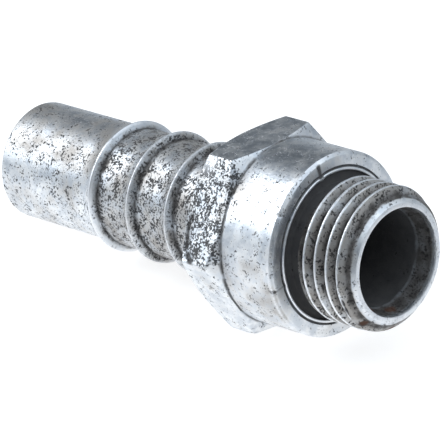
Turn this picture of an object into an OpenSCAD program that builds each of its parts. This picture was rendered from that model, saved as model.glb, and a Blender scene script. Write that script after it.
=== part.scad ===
// Threaded connection nipple for hose: plain tail with three saw-tooth ridges, short hexagon,
// round collar with a sealing face, thread relief, male pipe thread and a through bore with a cone mouth.
// Lengths run along the axis from the tail's end (0) to the thread's end. Millimetres.

/* [Length] */
// Whole length from the tail's end to the thread's end
total_len = 45.4; // [30:0.1:90]
// Length of the threaded end in front of the sealing face
thread_len = 7.3; // [5:0.1:20]
// Length of the round collar between the hexagon and the sealing face
collar_len = 6.2; // [2:0.1:15]
// Thickness of the hexagon along the axis, chamfers and all
hex_len = 4.4; // [2:0.1:15]

/* [Hexagon] */
// Width of the hexagon across its flats
across_flats = 17.0; // [13:0.5:46]
// Angle of the chamfers on the hexagon's corners, back and front
hex_chamfer_deg = 30; // [5:1:40]
// Width across the back chamfer where it meets the back face
hex_back_d = 16.8; // [12:0.1:46]

/* [Collar] */
// Diameter of the round collar
collar_d = 16.9; // [12:0.1:45]
// Chamfer at the collar's front edge
collar_chamfer = 0.28; // [0.1:0.02:1]
// Inner diameter of the shallow ring groove in the sealing face
face_groove_d1 = 14.1; // [10:0.1:40]
// Outer diameter of the shallow ring groove in the sealing face
face_groove_d2 = 14.5; // [10:0.1:40]
// Depth of the shallow ring groove in the sealing face
face_groove_depth = 0.15; // [0.05:0.05:0.5]
// Inner diameter of the raised bead beside the thread relief
bead_d = 13.5; // [10:0.1:40]
// Height of the raised bead above the sealing face
bead_h = 0.15; // [0.05:0.05:0.5]
// Inside depth of the recess between the bead and the thread relief
recess_depth = 0.3; // [0.1:0.05:1]

/* [Thread] */
// Major diameter of the male thread (G 1/4)
thread_d = 13.157; // [9:0.001:42]
// Diameter at the bottom of the thread relief
relief_d = 11.3; // [8:0.1:40]
// Width of the thread relief in front of the sealing face
relief_len = 0.75; // [0.5:0.05:4]
// Length of the slope from the relief up to the thread
relief_slope = 0.55; // [0.2:0.05:2]
// Angle of the chamfer at the thread's end, measured from the axis
thread_chamfer_deg = 45; // [20:1:60]

/* [Bore] */
// Diameter of the through bore
bore_d = 9.0; // [4:0.1:30]
// Diameter of the cone's mouth at the thread's end
mouth_d = 9.86; // [5:0.01:32]
// Included angle of the cone in the mouth
cone_deg = 24; // [10:1:90]
// Width of the flat ring between the mouth and the thread's chamfer
mouth_land = 0.42; // [0.05:0.01:1]
// Chamfer of the bore at the tail's end
tail_bore_chamfer = 0.25; // [0.1:0.05:1]

/* [Hose tail] */
// Diameter of the plain tail
tail_d = 11.0; // [6:0.1:40]
// Diameter over the ridges
ridge_d = 12.3; // [7:0.1:44]
// Number of ridges
ridge_count = 3; // [1:1:6]
// Distance from the tail's end to the first ridge's crest
ridge_first = 12.5; // [3:0.1:20]
// Distance from one crest to the next
ridge_pitch = 4.95; // [3:0.05:10]
// Length of the curved ramp that rises to a crest
ramp_len = 2.0; // [1:0.1:4]
// Width of the crest
crest_len = 0.1; // [0.05:0.05:1]
// Length of the steep shoulder behind a crest
shoulder_len = 0.28; // [0.1:0.02:1]
// Radius of the rounded edge at the tail's end
tail_round = 0.2; // [0.1:0.05:1]

/* [Hidden] */
$fn = 96;
hair = 0.01;
collar_face = total_len - thread_len;
hex_front = collar_face - collar_len;
hex_back = hex_front - hex_len;
hex_r = across_flats / 2;
tail_r = tail_d / 2;
ridge_r = ridge_d / 2;
ridge_h = ridge_r - tail_r;
// radius of the hollow ramp: it starts in line with the tail and ends at the crest
ramp_r = (ramp_len * ramp_len + ridge_h * ridge_h) / (2 * ridge_h);
cone_len = (mouth_d - bore_d) / 2 / tan(cone_deg / 2);
mouth_edge_r = mouth_d / 2 + mouth_land;
thread_chamfer_len = (thread_d / 2 - mouth_edge_r) / tan(thread_chamfer_deg);
corner_r = hex_r / cos(30);
hex_chamfer_len = (corner_r - hex_back_d / 2) * tan(hex_chamfer_deg);
// the front chamfer starts on the collar
hex_front_chamfer_len = (corner_r - collar_d / 2) * tan(hex_chamfer_deg);
// how the nipple lies: on the hexagon's back edge and on the rounded edge of the tail's end
touch_along = hex_back + (hex_r - hex_back_d / 2) * tan(hex_chamfer_deg);
round_along = tail_round;
round_r = tail_r - tail_round;
span = norm([touch_along - round_along, hex_r - round_r]);
tilt = atan2(hex_r - round_r, touch_along - round_along) - asin(tail_round / span);
tail_axis_z = hex_r * cos(tilt) - touch_along * sin(tilt);
x_back = tail_round * cos(tilt) - round_r * sin(tilt) - tail_round;
x_front = total_len * cos(tilt) + mouth_edge_r * sin(tilt);

// places a shape drawn along +Z so that the nipple lies on the floor, thread towards +X
module lay() {
  translate([-(x_back + x_front) / 2, 0, tail_axis_z])
    rotate([0, 90 - tilt, 0])
      children();
}

// half section of the round parts, radius along X and length along Y
module tail_section() {
  square([tail_r - tail_round, hex_back + hair]);
  translate([0, tail_round])
    square([tail_r, hex_back - tail_round + hair]);
  translate([tail_r - tail_round, tail_round])
    circle(r = tail_round);
}

// a ridge: hollow ramp on the hose end's side, thin crest, steep shoulder towards the hexagon
module ridge_section(crest) {
  difference() {
    translate([tail_r - ridge_h, crest - ramp_len])
      square([2 * ridge_h, ramp_len]);
    translate([tail_r + ramp_r, crest - ramp_len])
      circle(r = ramp_r);
  }
  polygon([
    [tail_r - ridge_h, crest - hair],
    [ridge_r, crest - hair],
    [ridge_r, crest + crest_len],
    [tail_r, crest + crest_len + shoulder_len],
    [tail_r - ridge_h, crest + crest_len + shoulder_len]
  ]);
}

module collar_section() {
  polygon([
    [0, hex_front - hair],
    [collar_d / 2, hex_front - hair],
    [collar_d / 2, collar_face - collar_chamfer],
    [collar_d / 2 - collar_chamfer, collar_face],
    [face_groove_d2 / 2, collar_face],
    [face_groove_d2 / 2, collar_face - face_groove_depth],
    [face_groove_d1 / 2, collar_face - face_groove_depth],
    [face_groove_d1 / 2, collar_face + bead_h],
    [bead_d / 2, collar_face + bead_h],
    [bead_d / 2, collar_face - recess_depth],
    [0, collar_face - recess_depth]
  ]);
}

module thread_section() {
  polygon([
    [0, collar_face - recess_depth - hair],
    [relief_d / 2, collar_face - recess_depth - hair],
    [relief_d / 2, collar_face + relief_len],
    [thread_d / 2, collar_face + relief_len + relief_slope],
    [thread_d / 2, total_len - thread_chamfer_len],
    [mouth_edge_r, total_len],
    [0, total_len]
  ]);
}

// hexagon with its corners turned off at an angle on both sides; flats face up and down when it lies
module hexagon() {
  intersection() {
    translate([0, 0, hex_back])
      rotate([0, 0, 90])
        cylinder(r = corner_r, h = hex_len, $fn = 6);
    rotate_extrude()
      polygon([
        [0, hex_back],
        [hex_back_d / 2, hex_back],
        [corner_r + hair, hex_back + hex_chamfer_len + hair * tan(hex_chamfer_deg)],
        [corner_r + hair, hex_front - hex_front_chamfer_len - hair * tan(hex_chamfer_deg)],
        [collar_d / 2, hex_front],
        [0, hex_front]
      ]);
  }
}

module bore() {
  translate([0, 0, -1])
    cylinder(d = bore_d, h = total_len + 2);
  translate([0, 0, total_len - cone_len])
    cylinder(d1 = bore_d, d2 = mouth_d, h = cone_len);
  translate([0, 0, total_len - hair])
    cylinder(d = mouth_d, h = 1);
  translate([0, 0, -1])
    cylinder(d = bore_d + 2 * tail_bore_chamfer, h = 1);
  cylinder(d1 = bore_d + 2 * tail_bore_chamfer, d2 = bore_d, h = tail_bore_chamfer);
}

module nipple_body() {
  color([0.68, 0.70, 0.72])
    lay()
      difference() {
        union() {
          rotate_extrude() tail_section();
          for (i = [0 : ridge_count - 1])
            rotate_extrude() ridge_section(ridge_first + i * ridge_pitch);
          hexagon();
          rotate_extrude() collar_section();
          rotate_extrude() thread_section();
        }
        bore();
      }
}

nipple_body();
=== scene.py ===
"""Looks of a threaded connection nipple for hose: zinc-plated steel, used and dirty.

One turned body is built as a ring-by-ring mesh around its axis; the pipe thread is wound on it by a
Geometry Nodes tree, and nicks, gouges and bruises are pressed in afterwards. Millimetres in the
functions below, metres in the finished mesh.
"""

import math

import bpy
import numpy as np
from mathutils import Matrix, Vector


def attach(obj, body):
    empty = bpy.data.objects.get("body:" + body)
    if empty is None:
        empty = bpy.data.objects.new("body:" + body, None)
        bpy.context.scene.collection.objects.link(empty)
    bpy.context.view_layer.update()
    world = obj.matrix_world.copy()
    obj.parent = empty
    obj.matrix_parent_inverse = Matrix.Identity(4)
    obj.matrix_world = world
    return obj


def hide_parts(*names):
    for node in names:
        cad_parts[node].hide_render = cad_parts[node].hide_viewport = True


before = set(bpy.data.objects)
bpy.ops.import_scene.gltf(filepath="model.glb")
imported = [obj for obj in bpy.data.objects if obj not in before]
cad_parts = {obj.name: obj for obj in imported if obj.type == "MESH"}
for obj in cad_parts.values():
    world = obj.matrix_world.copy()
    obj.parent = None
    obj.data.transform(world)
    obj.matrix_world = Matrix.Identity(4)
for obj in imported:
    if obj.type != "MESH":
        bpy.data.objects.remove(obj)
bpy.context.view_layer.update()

MM = 0.001

# sizes, as in the part's source
TOTAL_LEN = 45.4
THREAD_LEN = 7.3
COLLAR_LEN = 6.2
HEX_LEN = 4.4
HEX_R = 8.5                      # half of the width across flats
HEX_CHAMFER = math.radians(30)
HEX_BACK_R = 8.4
COLLAR_R = 8.45
COLLAR_CHAMFER = 0.28
GROOVE_R = (7.05, 7.25)
GROOVE_DEPTH = 0.15
BEAD_R = 6.75
BEAD_H = 0.15
RECESS = 0.3
THREAD_R = 13.157 / 2
THREAD_ROOT_R = THREAD_R - 0.856
THREAD_PITCH = 1.337
THREAD_PHASE = 44.15             # a crest's place along the axis at the angle below
THREAD_PHASE_ANGLE = 248.22
RELIEF_R = 5.65
RELIEF_LEN = 0.75
RELIEF_SLOPE = 0.55
MOUTH_EDGE_R = 5.35
MOUTH_R = 4.93
BORE_R = 4.5
CONE_LEN = 0.43 / math.tan(math.radians(12))
TAIL_R = 5.5
TAIL_ROUND = 0.2
TAIL_BORE_CHAMFER = 0.25
RIDGE_R = 6.15
RIDGES = (12.5, 17.45, 22.4)
RAMP_LEN = 2.0
CREST_LEN = 0.1
SHOULDER_LEN = 0.28

FACE = TOTAL_LEN - THREAD_LEN    # sealing face
HEX_FRONT = FACE - COLLAR_LEN
HEX_BACK = HEX_FRONT - HEX_LEN

# how it lies: on the hexagon's back edge and the rounded edge of the tail's end
TOUCH = HEX_BACK + (HEX_R - HEX_BACK_R) * math.tan(HEX_CHAMFER)
ROUND_R = TAIL_R - TAIL_ROUND
SPAN = math.hypot(TOUCH - TAIL_ROUND, HEX_R - ROUND_R)
TILT = math.atan2(HEX_R - ROUND_R, TOUCH - TAIL_ROUND) - math.asin(TAIL_ROUND / SPAN)
AXIS_Z = HEX_R * math.cos(TILT) - TOUCH * math.sin(TILT)
X_BACK = TAIL_ROUND * math.cos(TILT) - ROUND_R * math.sin(TILT) - TAIL_ROUND
X_FRONT = TOTAL_LEN * math.cos(TILT) + MOUTH_EDGE_R * math.sin(TILT)
ORIGIN = Vector((-(X_BACK + X_FRONT) / 2, 0.0, AXIS_Z))
TURN = math.pi / 2 - TILT        # the axis leans this far over from upright

# camera
camera_data = bpy.data.cameras.new("camera")
camera_data.sensor_width = 36.0
camera_data.lens = 368.183
camera_data.clip_start = 0.01
camera_data.clip_end = 10.0
camera = bpy.data.objects.new("camera", camera_data)
bpy.context.scene.collection.objects.link(camera)
VIEW_RIGHT = Vector((0.7138361, 0.69911032, -0.04102184))
VIEW_DOWN = Vector((0.30483888, -0.36292771, -0.88054343))
VIEW_AHEAD = Vector((-0.63048496, 0.61605863, -0.47218691))
camera.matrix_world = Matrix.Translation(Vector((257.2875, -250.8002, 199.2228)) * MM) @ Matrix(
    (VIEW_RIGHT, -VIEW_DOWN, -VIEW_AHEAD)).transposed().to_4x4()
bpy.context.scene.camera = camera


# small tools for node trees
def link(tree, value, socket):
    """Joins a node's socket, or sets a plain value."""
    if isinstance(value, bpy.types.NodeSocket):
        tree.links.new(value, socket)
    elif value is not None:
        socket.default_value = value


def node(tree, kind, inputs=(), **settings):
    """Adds a node. inputs are (name or index, value or socket) pairs."""
    made = tree.nodes.new(kind)
    for key, value in settings.items():
        setattr(made, key, value)
    for key, value in inputs:
        link(tree, value, made.inputs[key])
    return made


def sums(tree, operation, *values, clamp=False):
    """A Math node's result."""
    made = tree.nodes.new("ShaderNodeMath")
    made.operation = operation
    made.use_clamp = clamp
    for place, value in enumerate(values):
        link(tree, value, made.inputs[place])
    return made.outputs[0]


# the body's rings
COLS = 324
SEAM = math.radians(90 + 20 * 360 / COLS)   # where the rings close, on the far side, a column on each corner
SLOTS_PER_PITCH = (0.0, 0.08, 0.163, 0.334, 0.5055, 0.59, 0.6685, 0.747, 0.8315, 1.003, 1.174, 1.257)

turn = np.linspace(0.0, 1.0, COLS + 1)
angle_even = SEAM + turn * 2 * math.pi


def hex_warp(strength):
    """Angles of the columns, drawn together at the hexagon's corners (90 degrees and every 60)."""
    a = angle_even - math.pi / 2
    return angle_even - strength * 0.5 * np.sin(6 * a) / 6


def hex_radius(angle, corner=0.15):
    """Distance from the axis to the hexagon's side, with a small round at each corner."""
    off = (angle - math.pi / 2 + math.pi / 6) % (math.pi / 3) - math.pi / 6   # from the nearest corner
    flat = HEX_R / np.cos(math.pi / 6 - np.abs(off))
    centre = (HEX_R - corner) / math.cos(math.pi / 6)
    reach = corner ** 2 - (centre * np.sin(off)) ** 2
    arc = centre * np.cos(off) + np.sqrt(np.maximum(reach, 0.0))
    tangent = math.pi / 6 - math.atan((HEX_R - corner) * math.tan(math.pi / 6) / HEX_R)
    return np.where(np.abs(off) < tangent, arc, flat)


rings = []                       # (along, radius, angle, wound) arrays, one for each ring


def ring(along, radius, warp=0.0, wound=0.0):
    angle = hex_warp(warp) if warp else angle_even
    rings.append((np.broadcast_to(along, angle.shape).astype(float), np.broadcast_to(radius, angle.shape).astype(float),
                  angle, wound))


def rounded(points):
    """(along, radius, round, steps) corners to a list of (along, radius) with the corners rounded off."""
    out = []
    for i, (s, r, size, steps) in enumerate(points):
        if not size:
            out.append((s, r))
            continue
        here = np.array((s, r))
        back = np.array(points[i - 1][:2]) - here
        ahead = np.array(points[i + 1][:2]) - here
        back /= np.linalg.norm(back)
        ahead /= np.linalg.norm(ahead)
        half = math.acos(float(np.clip(back @ ahead, -1, 1))) / 2
        reach = size / math.tan(half)
        middle = back + ahead
        middle = here + middle / np.linalg.norm(middle) * size / math.sin(half)
        first, last = here + back * reach - middle, here + ahead * reach - middle
        for k in range(steps + 1):
            f = k / steps
            p = first * (1 - f) + last * f
            out.append(tuple(middle + p / np.linalg.norm(p) * size))
    return out


def rings_along(points, step, first=True, last=True):
    """Plain rings through the points, with more between them where they are far apart."""
    if first:
        ring(*points[0])
    for (s0, r0), (s1, r1) in zip(points, points[1:]):
        parts = max(1, math.ceil(math.hypot(s1 - s0, r1 - r0) / step - 1e-6))
        for k in range(1, parts + 1):
            if k < parts or (s1, r1) != points[-1] or last:
                ring(s0 + (s1 - s0) * k / parts, r0 + (r1 - r0) * k / parts)


def ridge(crest):
    """The corners of one saw-tooth ridge: hollow ramp, thin crest, steep shoulder."""
    rise = RIDGE_R - TAIL_R
    bend = (RAMP_LEN ** 2 + rise ** 2) / (2 * rise)
    top = math.asin(RAMP_LEN / bend)
    out = [(crest - RAMP_LEN + bend * math.sin(top * f), TAIL_R + bend * (1 - math.cos(top * f)), 0, 0)
           for f in (0.0, 0.18, 0.36, 0.52, 0.66, 0.78, 0.89)]
    out += [(crest, RIDGE_R, 0.035, 2), (crest + CREST_LEN, RIDGE_R, 0.035, 2),
            (crest + CREST_LEN + SHOULDER_LEN, TAIL_R, 0.12, 2)]
    return out


# tail with its ridges, up to the hexagon's back
tail = [(TAIL_BORE_CHAMFER, BORE_R, 0, 0), (0.0, BORE_R + TAIL_BORE_CHAMFER, 0, 0)]
tail += [(TAIL_ROUND * (1 - math.cos(a)), ROUND_R + TAIL_ROUND * math.sin(a), 0, 0)
         for a in np.linspace(0, math.pi / 2, 5)]
for crest in RIDGES:
    tail += ridge(crest)
tail += [(HEX_BACK, TAIL_R, 0.15, 3), (HEX_BACK, HEX_BACK_R - 0.05, 0, 0)]
rings_along(rounded(tail), 0.42)

# hexagon: back chamfer, flats, front chamfer that ends on the collar
angle_hex = hex_warp(1.0)
side = hex_radius(angle_hex)
back_end = HEX_BACK + (side - HEX_BACK_R) * math.tan(HEX_CHAMFER)
front_end = HEX_FRONT - (side - COLLAR_R) * math.tan(HEX_CHAMFER)
edge_back = np.minimum(0.05, 0.3 * (side - HEX_BACK_R))
edge_front = np.minimum(0.05, 0.3 * (side - COLLAR_R))
for f in (0.06, 0.36, 0.68):
    ring(HEX_BACK + (back_end - HEX_BACK) * f, HEX_BACK_R + (side - HEX_BACK_R) * f, warp=1.0)
ring(back_end - edge_back * math.sin(HEX_CHAMFER), side - edge_back * math.cos(HEX_CHAMFER), warp=1.0)
ring(back_end + 0.25 * edge_back, side - 0.25 * edge_back, warp=1.0)
for f in (0.0, 0.06, 0.14, 0.23, 0.32, 0.41, 0.5, 0.59, 0.68, 0.77, 0.86, 0.94, 1.0):
    ring((back_end + edge_back) * (1 - f) + (front_end - edge_front) * f, side, warp=1.0)
ring(front_end - 0.25 * edge_front, side - 0.25 * edge_front, warp=1.0)
for f in (1.0, 0.66, 0.33, 0.1):
    ring(HEX_FRONT - (HEX_FRONT - front_end - edge_front * math.sin(HEX_CHAMFER)) * f,
         COLLAR_R + (side - COLLAR_R - edge_front * math.cos(HEX_CHAMFER)) * f, warp=1.0)

# collar, sealing face with its groove and bead, recess
front = [(HEX_FRONT + 0.04, COLLAR_R, 0, 0), (HEX_FRONT + 0.12, COLLAR_R, 0, 0),
         (FACE - COLLAR_CHAMFER, COLLAR_R, 0.06, 2), (FACE, COLLAR_R - COLLAR_CHAMFER, 0.05, 2),
         (FACE, GROOVE_R[1], 0.03, 1), (FACE - GROOVE_DEPTH, GROOVE_R[1], 0.03, 1),
         (FACE - GROOVE_DEPTH, GROOVE_R[0], 0.03, 1), (FACE + BEAD_H, GROOVE_R[0], 0.12, 3),
         (FACE + BEAD_H, BEAD_R, 0.12, 3), (FACE - RECESS, BEAD_R, 0.08, 2),
         (FACE - RECESS, RELIEF_R, 0.12, 2), (FACE + RELIEF_LEN, RELIEF_R, 0, 0)]
rings_along(rounded(front), 0.32, last=False)

# rings that the thread is wound on
THREAD_LO, THREAD_HI = FACE + RELIEF_LEN, TOTAL_LEN - 0.3
start = THREAD_PHASE + THREAD_PITCH * (math.degrees(SEAM) - THREAD_PHASE_ANGLE) / 360
turns_back = math.ceil((start - (THREAD_LO - THREAD_PITCH)) / THREAD_PITCH) + 1
slots = [start + THREAD_PITCH * (k - turns_back) + THREAD_PITCH * slot / 1.337
         for k in range(turns_back + 4) for slot in SLOTS_PER_PITCH]
low = max(i for i, s in enumerate(slots) if s <= THREAD_LO - THREAD_PITCH)
high = min(i for i, s in enumerate(slots) if s >= THREAD_HI)
for s in slots[low:high + 1]:
    ring(s, THREAD_ROOT_R, wound=1.0)

# chamfer at the thread's end, land, cone mouth and bore
chamfer_r = MOUTH_EDGE_R + TOTAL_LEN - THREAD_HI
mouth = [(THREAD_HI, chamfer_r, 0, 0), (TOTAL_LEN, MOUTH_EDGE_R, 0.05, 2), (TOTAL_LEN, MOUTH_R, 0.04, 2),
         (TOTAL_LEN - CONE_LEN, BORE_R, 0, 0)]
rings_along(rounded(mouth), 0.26, first=False)
for depth in (2.5, 3.1, 3.8, 4.6, 5.5, 6.6, 8.0, 10.0, 13.0, 17.0, 22.0, 28.0, 34.0, 39.0, 42.0, 44.0, 44.8):
    ring(TOTAL_LEN - depth, BORE_R)

along = np.array([r[0] for r in rings])
radius = np.array([r[1] for r in rings])
angle = np.array([r[2] for r in rings])
wound = np.array([np.full(COLS + 1, r[3]) for r in rings])
turns = np.broadcast_to(turn, along.shape)


def ring_mesh(name):
    """The open grid of rings, closed from the last ring back to the first."""
    place = np.stack([radius * np.cos(angle), radius * np.sin(angle), along], -1).reshape(-1, 3) * MM
    rows, cols = along.shape
    index = np.arange(rows * cols).reshape(rows, cols)
    ahead = np.roll(index, -1, axis=0)
    faces = np.stack([index[:, :-1], index[:, 1:], ahead[:, 1:], ahead[:, :-1]], -1).reshape(-1, 4)
    mesh = bpy.data.meshes.new(name)
    mesh.from_pydata(place.tolist(), [], faces.tolist())
    for key, values in (("along", along), ("angle", angle), ("turn", turns), ("wound", wound)):
        mesh.attributes.new(key, "FLOAT", "POINT").data.foreach_set("value", values.astype(np.float32).ravel())
    return mesh


def thread_tree():
    """Geometry Nodes: winds a Whitworth pipe thread on the rings that are marked for it and closes the seam."""
    tree = bpy.data.node_groups.new("pipe_thread", "GeometryNodeTree")
    tree.is_modifier = True
    face = tree.interface
    face.new_socket(name="Geometry", in_out="INPUT", socket_type="NodeSocketGeometry")
    for name in ("Pitch", "Crest Radius", "Root Radius", "Rounding", "Start", "End", "Run-out Radius",
                 "Run-out Rise", "Chamfer Radius", "Origin"):
        face.new_socket(name=name, in_out="INPUT", socket_type="NodeSocketFloat")
    face.new_socket(name="Finish", in_out="INPUT", socket_type="NodeSocketMaterial")
    face.new_socket(name="Geometry", in_out="OUTPUT", socket_type="NodeSocketGeometry")
    given = node(tree, "NodeGroupInput").outputs
    pitch, crest, root, rounding = (given[k] for k in ("Pitch", "Crest Radius", "Root Radius", "Rounding"))

    def field(name):
        return node(tree, "GeometryNodeInputNamedAttribute", [("Name", name)], data_type="FLOAT").outputs["Attribute"]

    def calc(operation, *values):
        return sums(tree, operation, *values)

    ring_at, angle_at, turn_at, wound_at = (field(k) for k in ("along", "angle", "turn", "wound"))
    # along the axis: each ring climbs one pitch in a turn, and stays between the start and the end
    climbed = calc("ADD", ring_at, calc("MULTIPLY", pitch, turn_at))
    s = calc("MINIMUM", calc("MAXIMUM", climbed, given["Start"]), given["End"])
    # distance from the nearest crest, 0 to half a pitch
    off = calc("SUBTRACT", calc("SUBTRACT", s, given["Origin"]), calc("MULTIPLY", pitch, turn_at))
    off = calc("PINGPONG", off, calc("MULTIPLY", pitch, 0.5))
    # flanks at 27.5 degrees, rounded at the crest and at the root
    middle = calc("MULTIPLY", calc("ADD", crest, root), 0.5)
    flank = calc("ADD", middle, calc("DIVIDE", calc("SUBTRACT", calc("MULTIPLY", pitch, 0.25), off), math.tan(math.radians(27.5))))
    flank = calc("SMOOTH_MIN", flank, calc("ADD", crest, 0.0), rounding)
    flank = calc("SMOOTH_MAX", flank, root, rounding)
    # cut off by the run-out slope at the back and the chamfer in front
    rise = calc("ADD", given["Run-out Radius"], calc("MULTIPLY", given["Run-out Rise"], calc("SUBTRACT", s, given["Start"])))
    chamfer = calc("ADD", given["Chamfer Radius"], calc("SUBTRACT", given["End"], s))
    r = calc("SMOOTH_MIN", calc("MINIMUM", flank, rise), chamfer, 0.05)
    spot = node(tree, "ShaderNodeCombineXYZ", [(0, calc("MULTIPLY", r, calc("COSINE", angle_at))),
                                               (1, calc("MULTIPLY", r, calc("SINE", angle_at))), (2, s)])
    spot = node(tree, "ShaderNodeVectorMath", [(0, spot.outputs[0]), ("Scale", MM)], operation="SCALE").outputs[0]
    moved = node(tree, "GeometryNodeSetPosition", [("Geometry", given["Geometry"]),
                                                   ("Selection", calc("GREATER_THAN", wound_at, 0.5)), ("Position", spot)])
    closed = node(tree, "GeometryNodeMergeByDistance", [("Geometry", moved.outputs[0]), ("Distance", 2e-6)])
    real = node(tree, "GeometryNodeRealizeInstances", [("Geometry", closed.outputs[0])])
    done = node(tree, "GeometryNodeSetMaterial", [("Geometry", real.outputs[0]), ("Material", given["Finish"])])
    node(tree, "NodeGroupOutput", [("Geometry", done.outputs[0])])
    return tree


def run_tree(source, tree, values):
    """Runs a tree on an object with named inputs and gives back the plain mesh."""
    modifier = source.modifiers.new(tree.name, "NODES")
    modifier.node_group = tree
    for item in tree.interface.items_tree:
        if item.item_type == "SOCKET" and item.in_out == "INPUT" and item.name in values:
            modifier[item.identifier] = values[item.name]
    depsgraph = bpy.context.evaluated_depsgraph_get()
    return bpy.data.meshes.new_from_object(source.evaluated_get(depsgraph))


def zinc_steel():
    """Zinc-plated steel with turning marks, black pits, brown film, dark soiling with painted shade in the hollows,
    rust, and bright wear with painted highlights on crests and edges.
    """
    material = bpy.data.materials.new("zinc_steel")
    material.use_nodes = True
    tree = material.node_tree
    shader = tree.nodes["Principled BSDF"]
    shader.inputs["Specular IOR Level"].default_value = 0.4
    spot = node(tree, "ShaderNodeTexCoord").outputs["Object"]
    # millimetres in the nipple's own frame, the axis along Z
    lain = node(tree, "ShaderNodeMapping", [("Vector", spot), ("Location", ORIGIN * MM), ("Rotation", (0, TURN, 0)),
                                            ("Scale", (MM, MM, MM))], vector_type="TEXTURE").outputs[0]
    drawn = node(tree, "ShaderNodeMapping", [("Vector", lain), ("Scale", (0.25, 0.25, 9.0))]).outputs[0]

    def noise(vector, scale, detail):
        return node(tree, "ShaderNodeTexNoise", [("Vector", vector), ("Scale", scale), ("Detail", detail),
                                                 ("Roughness", 0.6)]).outputs["Fac"]

    def calc(operation, *values):
        return sums(tree, operation, *values)

    def step(value, low, high):
        return node(tree, "ShaderNodeMapRange", [("Value", value), ("From Min", low), ("From Max", high)],
                    interpolation_type="SMOOTHSTEP").outputs[0]

    def shade(under, over, amount):
        return node(tree, "ShaderNodeMix", [(0, amount), (6, under), (7, over)], data_type="RGBA").outputs[2]

    def painted(name):
        return node(tree, "ShaderNodeAttribute", attribute_name=name).outputs["Fac"]

    pitting, grime, soot_and_shade, wear_and_highlight, rust = (painted(name) for name in ("pitting", "grime", "soot_and_shade", "wear_and_highlight", "rust"))
    grain = noise(lain, 5.0, 3.0)
    clump = noise(lain, 1.3, 2.0)
    blotch = noise(lain, 0.45, 4.0)
    cloud = noise(lain, 0.9, 3.0)
    turning = noise(drawn, 1.0, 2.0)
    # black pits: more of them where the surface is marked for it, and in clumps
    level = calc("ADD", grain, calc("MULTIPLY", calc("SUBTRACT", clump, 0.5), 0.55))
    level = calc("ADD", level, calc("MULTIPLY", calc("SUBTRACT", pitting, 0.5), 0.2))
    pits = step(level, 0.56, 0.66)
    film = step(calc("ADD", grime, calc("MULTIPLY", calc("SUBTRACT", blotch, 0.5), 1.6)), 0.2, 1.0)
    # near-black mask: real soiling along the hexagon's front and in the gouges; painted shade behind the ridge
    # shoulders, in the undercut and in the face groove; painted shade with dark oxide down the bore; also darker down
    # the thread roots and at the foot of the hexagon's back
    dirt_and_shade = step(calc("ADD", soot_and_shade, calc("MULTIPLY", calc("SUBTRACT", cloud, 0.5), 0.8)), 0.25, 0.75)
    stain = step(calc("ADD", rust, calc("MULTIPLY", calc("SUBTRACT", clump, 0.5), 0.8)), 0.4, 0.7)
    # bright mask: painted highlights along the ridge and thread crests, the mouth's end, the collar's front edge and
    # the bead's top, with real wear at the hexagon's corner
    bright = calc("MULTIPLY", wear_and_highlight, step(grain, 0.25, 0.55))
    colour = shade((0.62, 0.66, 0.71, 1), (0.88, 0.9, 0.92, 1), step(cloud, 0.35, 0.65))
    colour = shade(colour, (0.27, 0.235, 0.2, 1), calc("MULTIPLY", film, 0.75))
    # near-black colour for soiling and painted shade
    colour = shade(colour, (0.045, 0.04, 0.038, 1), calc("MULTIPLY", dirt_and_shade, 0.9))
    colour = shade(colour, (0.022, 0.02, 0.02, 1), calc("MULTIPLY", pits, 0.9))
    colour = shade(colour, (0.12, 0.05, 0.025, 1), calc("MULTIPLY", stain, 0.8))
    # bright colour: painted highlights with some real wear
    colour = shade(colour, (0.9, 0.92, 0.95, 1), calc("MULTIPLY", bright, 0.85))
    link(tree, colour, shader.inputs["Base Color"])
    dull = calc("MAXIMUM", calc("MULTIPLY", film, 0.45), calc("MAXIMUM", pits, calc("MAXIMUM", dirt_and_shade, stain)))
    dull = calc("MULTIPLY", dull, calc("SUBTRACT", 1.0, calc("MULTIPLY", bright, 0.85)))
    link(tree, calc("SUBTRACT", 1.0, calc("MULTIPLY", dull, 0.85)), shader.inputs["Metallic"])
    rough = calc("ADD", 0.27, calc("MULTIPLY", dull, 0.33))
    rough = calc("ADD", rough, calc("MULTIPLY", cloud, 0.14))
    link(tree, rough, shader.inputs["Roughness"])
    height = calc("ADD", calc("MULTIPLY", turning, 0.35), calc("MULTIPLY", grain, 0.3))
    height = calc("SUBTRACT", height, calc("MULTIPLY", pits, 0.8))
    bump = node(tree, "ShaderNodeBump", [("Height", height), ("Strength", 0.7), ("Distance", 0.06 * MM)])
    link(tree, bump.outputs[0], shader.inputs["Normal"])
    return material


finish = zinc_steel()
blank = bpy.data.objects.new("rings", ring_mesh("rings"))
bpy.context.scene.collection.objects.link(blank)
body_mesh = run_tree(blank, thread_tree(), {
    "Pitch": THREAD_PITCH, "Crest Radius": THREAD_R, "Root Radius": THREAD_ROOT_R, "Rounding": 0.22,
    "Start": THREAD_LO, "End": THREAD_HI, "Run-out Radius": RELIEF_R,
    "Run-out Rise": (THREAD_R - RELIEF_R) / RELIEF_SLOPE, "Chamfer Radius": chamfer_r,
    "Origin": start, "Finish": finish})
bpy.data.objects.remove(blank)

place = np.empty(len(body_mesh.vertices) * 3)
body_mesh.vertices.foreach_get("co", place)
place = place.reshape(-1, 3) / MM
s_at = place[:, 2].copy()
r_at = np.hypot(place[:, 0], place[:, 1])
a_at = np.degrees(np.arctan2(place[:, 1], place[:, 0])) % 360



def window(value, low, high, soft):
    """1 between low and high, with soft ends."""
    return np.clip((value - low) / soft + 0.5, 0, 1) * np.clip((high - value) / soft + 0.5, 0, 1)


def around(centre, half, soft=12.0):
    """1 within half degrees of an angle round the axis."""
    off = np.abs((a_at - centre + 180) % 360 - 180)
    return np.clip((half - off) / soft + 0.5, 0, 1)


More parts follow.
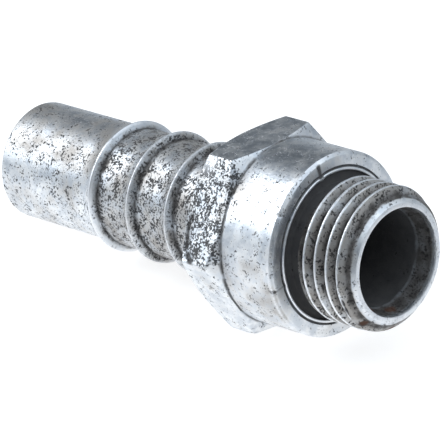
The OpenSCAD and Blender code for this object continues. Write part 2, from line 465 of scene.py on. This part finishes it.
def patch(along_axis, turned, size_along, size_round):
    """A soft spot on the surface, its sizes in millimetres."""
    across = np.radians((a_at - turned + 180) % 360 - 180) * r_at
    return np.exp(-((s_at - along_axis) / size_along) ** 2 - (across / size_round) ** 2)


def most(*fields):
    return np.clip(np.maximum.reduce(fields), 0, 1)


outside = (r_at > BORE_R + 0.02).astype(float)
on_thread = window(s_at, THREAD_LO, THREAD_HI, 0.1) * outside
on_hexagon = window(s_at, HEX_BACK, HEX_FRONT, 0.1) * (r_at > COLLAR_R + 0.02)
on_collar = window(s_at, HEX_FRONT, FACE, 0.1) * (r_at > GROOVE_R[1])
on_tail = window(s_at, -0.1, RIDGES[0] - 0.2, 0.2)
on_ridges = window(s_at, RIDGES[0] + 0.3, HEX_BACK, 0.3)

# gouges, nicks and bruises: place along the axis, angle, sizes along and round, depth
GOUGES = ((28.1, 246.0, 0.3, 0.5, 0.16), (28.0, 252.0, 0.28, 0.7, 0.2), (28.1, 257.5, 0.3, 0.6, 0.2),
          (28.3, 262.5, 0.3, 0.5, 0.2), (28.7, 266.5, 0.4, 0.4, 0.18), (29.1, 268.6, 0.45, 0.35, 0.16),
          (44.5, 315.6, 0.35, 0.5, 0.2), (44.3, 285.0, 0.12, 0.5, 0.12), (44.3, 293.0, 0.12, 0.6, 0.14),
          (37.85, 230.0, 0.25, 0.16, 0.12), (37.85, 279.0, 0.3, 0.2, 0.12), (38.2, 188.9, 0.2, 0.3, 0.1),
          (30.9, 271.1, 0.2, 0.2, 0.1), (31.0, 330.0, 0.2, 0.25, 0.12))
gouged = [patch(*gouge[:4]) for gouge in GOUGES]
push = sum(field * gouge[4] for field, gouge in zip(gouged, GOUGES)) * outside

# painted shadow behind each ridge's steep shoulder
shoulders = [window(s_at, crest + 0.25, crest + 0.95, 0.5) * (r_at < RIDGE_R - 0.1) for crest in RIDGES]
# painted highlight along each ridge's crest
crests = [window(s_at, crest - 0.12, crest + CREST_LEN + 0.1, 0.1) * (r_at > RIDGE_R - 0.12) for crest in RIDGES]
# darker down the thread's roots
valley = on_thread * np.clip((THREAD_R - 0.12 - r_at) / 0.55, 0, 1)
# painted shadow in the undercut behind the sealing face
undercut = window(s_at, FACE - 0.6, THREAD_LO + 0.3, 0.2) * (r_at < GROOVE_R[0] - 0.25)
# painted shade in the sealing face's groove
face_groove = window(s_at, FACE - 0.3, FACE - 0.06, 0.05) * window(r_at, GROOVE_R[0] - 0.1, GROOVE_R[1] + 0.1, 0.1)
junction = window(s_at, HEX_FRONT - 0.12, HEX_FRONT + 0.22, 0.2)
# painted shade, with dark oxide, down the bore
inside = (r_at < BORE_R + 0.02) * window(s_at, 0.6, TOTAL_LEN - CONE_LEN + 0.1, 1.0)
# darker at the foot of the hexagon's back
foot = window(s_at, HEX_BACK - 0.5, HEX_BACK + 0.04, 0.3)
marks = {
    "pitting": most(0.45 * on_tail + 0.15 * patch(8.5, 245, 4.0, 3.5), 0.8 * on_ridges, 0.32 * on_collar,
                    on_collar * (0.25 * around(270, 35) + 0.35 * patch(32.5, 225, 1.5, 2.5)),
                    on_hexagon * (0.3 + 0.8 * around(240, 28, 6.0)), 0.62 * on_thread, 0.4 * window(s_at, 43.5, 46, 0.5)),
    # brown film, laid on heavier round about 200 degrees on the tail (its upper side) and about 285 degrees on the
    # collar
    "grime": most(0.32 * on_tail + 0.3 * on_tail * around(200, 35) + 0.25 * patch(10.5, 215, 2.5, 4.0), 0.62 * on_ridges,
                  on_hexagon * (0.25 + 0.15 * around(240, 28)), on_collar * (0.12 + 0.35 * around(285, 25)),
                  0.75 * patch(32.4, 215, 1.1, 3.0), 0.85 * on_thread * (r_at < THREAD_R - 0.1), 0.25 * outside),
    # near-black: painted shade behind the shoulders, in the undercut, the groove and the bore, with real soiling at the
    # hexagon's front and in the gouges
    "soot_and_shade": most(*(0.75 * field for field in shoulders), 0.62 * valley, 0.85 * undercut, 0.7 * face_groove,
                 0.6 * junction, 0.97 * inside, 0.5 * foot, *gouged),
    # painted highlights on the crests, the mouth's end, the collar's edge and the bead, real wear in the patch on the
    # hexagon's corner
    "wear_and_highlight": most(*(0.95 * field for field in crests), on_thread * np.clip((r_at - THREAD_R + 0.1) / 0.08, 0, 1),
                 window(s_at, TOTAL_LEN - 0.12, TOTAL_LEN + 1, 0.1) * 0.7 * outside,
                 patch(28.6, 211.0, 0.9, 1.1), 0.8 * window(s_at, FACE - 0.34, FACE - 0.2, 0.08) * on_collar,
                 0.6 * window(s_at, FACE + BEAD_H - 0.06, FACE + BEAD_H + 0.04, 0.05) * (r_at > BEAD_R - 0.05)),
    "rust": most(0.8 * patch(44.2, 353.0, 0.7, 1.0), 0.8 * patch(44.6, 315.6, 0.4, 0.6), 0.5 * patch(39.0, 190.0, 0.6, 0.8)),
}
shrink = 1 - push / np.maximum(r_at, 1)
place[:, 0] *= shrink
place[:, 1] *= shrink

# lay it down
lay = np.array(Matrix.Rotation(TURN, 3, "Y"))
world = place @ lay.T + np.array(ORIGIN)
body_mesh.vertices.foreach_set("co", (world * MM).ravel())
body_mesh.update()
body_mesh.validate()
for key in ("along", "angle", "turn", "wound"):
    if key in body_mesh.attributes:
        body_mesh.attributes.remove(body_mesh.attributes[key])
for key, values in marks.items():
    body_mesh.attributes.new(key, "FLOAT", "POINT").data.foreach_set("value", values.astype(np.float32))
body_mesh.shade_smooth()
body_mesh.set_sharp_from_angle(angle=math.radians(38))
nipple = bpy.data.objects.new("nipple", body_mesh)
bpy.context.scene.collection.objects.link(nipple)
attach(nipple, "root")
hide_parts("nipple_body")

# floor
floor_mesh = bpy.data.meshes.new("floor")
floor_mesh.from_pydata([(-0.6, -0.6, 0), (0.6, -0.6, 0), (0.6, 0.6, 0), (-0.6, 0.6, 0)], [], [(0, 1, 2, 3)])
floor = bpy.data.objects.new("floor", floor_mesh)
bpy.context.scene.collection.objects.link(floor)
paper = bpy.data.materials.new("paper")
paper.use_nodes = True
tree = paper.node_tree
tree.nodes.clear()
rays = node(tree, "ShaderNodeLightPath")
spot = node(tree, "ShaderNodeTexCoord").outputs["Object"]
reach = node(tree, "ShaderNodeVectorMath", [(0, spot)], operation="LENGTH").outputs["Value"]
# in the metal's gloss the paper dims with distance; the camera sees it evenly white
near = node(tree, "ShaderNodeMapRange", [("Value", reach), ("From Min", 24 * MM), ("From Max", 62 * MM),
                                         ("To Min", 0.72), ("To Max", 0.08)], interpolation_type="SMOOTHSTEP")
clear = sums(tree, "MAXIMUM", rays.outputs["Is Camera Ray"], rays.outputs["Is Transmission Ray"])
gloss = sums(tree, "MULTIPLY", rays.outputs["Is Glossy Ray"], near.outputs[0])
glow = node(tree, "ShaderNodeEmission", [
    ("Color", (1, 1, 1, 1)), ("Strength", sums(tree, "MAXIMUM", sums(tree, "MULTIPLY", clear, 0.74), gloss))])
matt = node(tree, "ShaderNodeBsdfDiffuse", [("Color", (0.62, 0.62, 0.62, 1))])
both = node(tree, "ShaderNodeAddShader", [(0, glow.outputs[0]), (1, matt.outputs[0])])
node(tree, "ShaderNodeOutputMaterial", [("Surface", both.outputs[0])])
floor_mesh.materials.append(paper)

# light
world_data = bpy.data.worlds.new("studio")
bpy.context.scene.world = world_data
world_data.use_nodes = True
tree = world_data.node_tree
tree.nodes.clear()
rays = node(tree, "ShaderNodeLightPath")
heading = node(tree, "ShaderNodeTexCoord").outputs["Generated"]


def lobe(azimuth, elevation, inner, outer, strength):
    """A soft round patch of the studio round a direction, in degrees."""
    turned, raised = math.radians(azimuth), math.radians(elevation)
    axis = (math.cos(turned) * math.cos(raised), math.sin(turned) * math.cos(raised), math.sin(raised))
    facing = node(tree, "ShaderNodeVectorMath", [(0, heading), (1, axis)], operation="DOT_PRODUCT").outputs["Value"]
    shape = node(tree, "ShaderNodeMapRange", [
        ("Value", facing), ("From Min", math.cos(math.radians(outer))), ("From Max", math.cos(math.radians(inner))),
        ("To Min", 0.0), ("To Max", strength)], interpolation_type="SMOOTHSTEP")
    return shape.outputs[0]


# panels: one on the left, one overhead on the right; flags: behind on the left and beside the camera
panels = sums(tree, "ADD", lobe(207, 30, 8, 36, 1.25), lobe(30, 55, 14, 48, 0.8))
flags = sums(tree, "MAXIMUM", lobe(151, 28, 10, 34, 0.78), lobe(-40, 4, 8, 34, 0.9))
level = sums(tree, "MULTIPLY", sums(tree, "ADD", panels, 0.48), sums(tree, "SUBTRACT", 1.0, flags))
soft = node(tree, "ShaderNodeBackground", [("Color", (0.84, 0.92, 1.0, 1)), ("Strength", level)])
white = node(tree, "ShaderNodeBackground", [("Color", (1, 1, 1, 1)), ("Strength", 1.0)])
mix = node(tree, "ShaderNodeMixShader", [("Fac", rays.outputs["Is Camera Ray"]), (1, soft.outputs[0]),
                                         (2, white.outputs[0])])
node(tree, "ShaderNodeOutputWorld", [("Surface", mix.outputs[0])])


def softbox(name, direction, distance, size, power):
    """An area lamp that looks at the nipple."""
    data = bpy.data.lights.new(name, "AREA")
    data.shape = "RECTANGLE"
    data.size, data.size_y = size
    data.energy = power
    lamp = bpy.data.objects.new(name, data)
    spot_at = Vector(direction).normalized() * distance
    lamp.location = spot_at
    lamp.rotation_euler = (-spot_at).to_track_quat("-Z", "Y").to_euler()
    bpy.context.scene.collection.objects.link(lamp)


softbox("key", (-0.66, -0.42, 0.62), 0.45, (0.3, 0.3), 0.8)

bpy.context.scene.view_settings.view_transform = "Standard"
